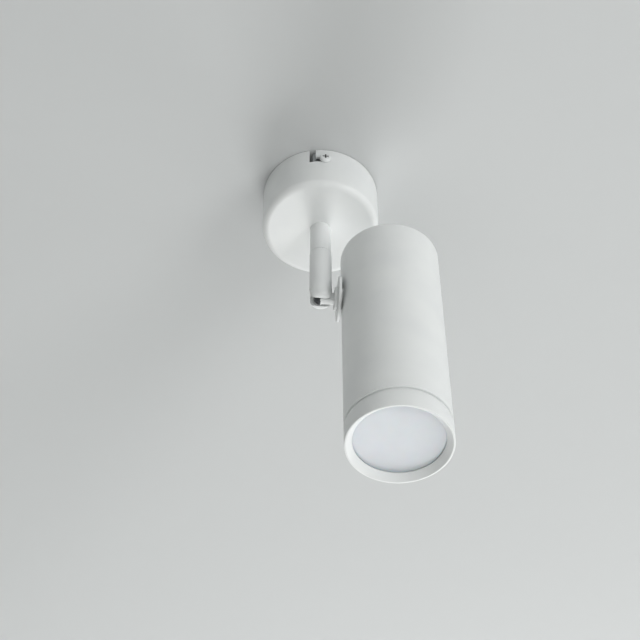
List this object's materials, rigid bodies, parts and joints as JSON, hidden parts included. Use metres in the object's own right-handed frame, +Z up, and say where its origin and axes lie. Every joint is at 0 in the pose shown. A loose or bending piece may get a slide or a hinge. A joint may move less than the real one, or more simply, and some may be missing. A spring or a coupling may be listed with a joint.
{
  "type": "surface mounted ceiling spotlight",
  "caption": "Round ceiling canopy with a swivelling stem, a fork and side arm that tilt a slim cylindrical spotlight head, and a twist-lock lamp behind a pull-off front ring.",
  "frame": {"origin": "on the ceiling plane, at the middle of the canopy and of the bracket's cable hole", "axes": "+Z up into the ceiling, +X from the stem towards the head, Y along the bracket's strap and the line of the ceiling screws"},
  "size_m": [0.1015, 0.0728, 0.2056],
  "materials": {
    "white_powder_coat": "satin white powder coat on steel",
    "white_powder_coat_aluminium": "satin white powder coat on aluminium tube",
    "zinc_steel": "bright zinc plate",
    "nickel_screw": "nickel plate",
    "terminal_brass": "plain brass",
    "tinned_copper": "tinned",
    "terminal_polyamide": "natural white polyamide",
    "slip_polymer": "dark acetal",
    "live_insulation": "brown insulation",
    "neutral_insulation": "blue insulation",
    "earth_insulation": "green and yellow insulation",
    "heatproof_sleeving": "woven glass sleeving",
    "steatite_ceramic": "glazed steatite, opaque",
    "lamp_shell_polymer": "moulded white polymer",
    "opal_polycarbonate": "frosted opal polycarbonate",
    "led_board_white": "white solder mask",
    "circuit_board_green": "green solder mask"
  },
  "bodies": {
    "ceiling_bracket": {"mounting_bracket": "zinc_steel", "bracket_side_screws": "nickel_screw"},
    "canopy": {"canopy_cup": "white_powder_coat", "upper_stem": "white_powder_coat", "swivel_washer": "slip_polymer", "stem_lock_washer": "zinc_steel", "stem_locknut": "zinc_steel", "terminal_carrier": "zinc_steel", "terminal_block": "terminal_polyamide", "terminal_sleeves": "terminal_brass", "terminal_clamp_screws": "zinc_steel", "terminal_block_screw": "zinc_steel", "earth_screw": "terminal_brass", "earth_lug": "tinned_copper", "live_lead": "live_insulation", "neutral_lead": "neutral_insulation", "earth_lead": "earth_insulation"},
    "lower_stem": {"lower_stem": "white_powder_coat", "pan_grub_screw": "nickel_screw", "pivot_screw": "nickel_screw", "pivot_washers": "zinc_steel", "stem_leads": "heatproof_sleeving"},
    "head": {"arm": "white_powder_coat", "side_disc": "white_powder_coat", "saddle_washer": "zinc_steel", "arm_nut": "zinc_steel", "lampholder_bracket": "zinc_steel", "head_tube": "white_powder_coat_aluminium", "rear_cap": "white_powder_coat_aluminium", "lampholder": "steatite_ceramic", "holder_contacts": "terminal_brass", "holder_screws": "zinc_steel", "head_leads": "heatproof_sleeving"},
    "front_ring": {"front_ring": "white_powder_coat_aluminium"},
    "lamp": {"lamp_body": "lamp_shell_polymer", "lamp_base": "lamp_shell_polymer", "lamp_pins": "nickel_screw", "lamp_diffuser": "opal_polycarbonate", "led_board": "led_board_white", "driver_board": "circuit_board_green"}
  },
  "joints": [
    {"name": "canopy_turn", "type": "hinge", "parent": "ceiling_bracket", "child": "canopy", "pos_m": [0, 0, -0.00945], "axis": [0, 0, 1], "range_deg": [0, 12.5]},
    {"name": "stem_pan", "type": "hinge", "parent": "canopy", "child": "lower_stem", "pos_m": [0, 0, -0.0572], "axis": [0, 0, 1], "range_deg": [-160, 160]},
    {"name": "head_tilt", "type": "hinge", "parent": "lower_stem", "child": "head", "pos_m": [0, 0, -0.09485], "axis": [0, 1, 0], "range_deg": [0, 90]},
    {"name": "ring_pull", "type": "slide", "parent": "head", "child": "front_ring", "axis": [0, 0, -1], "range_m": [0, 0.009]},
    {"name": "lamp_twist", "type": "hinge", "parent": "head", "child": "lamp", "pos_m": [0.0395, 0, -0.15], "axis": [0, 0, -1], "range_deg": [0, 30]}
  ]
}
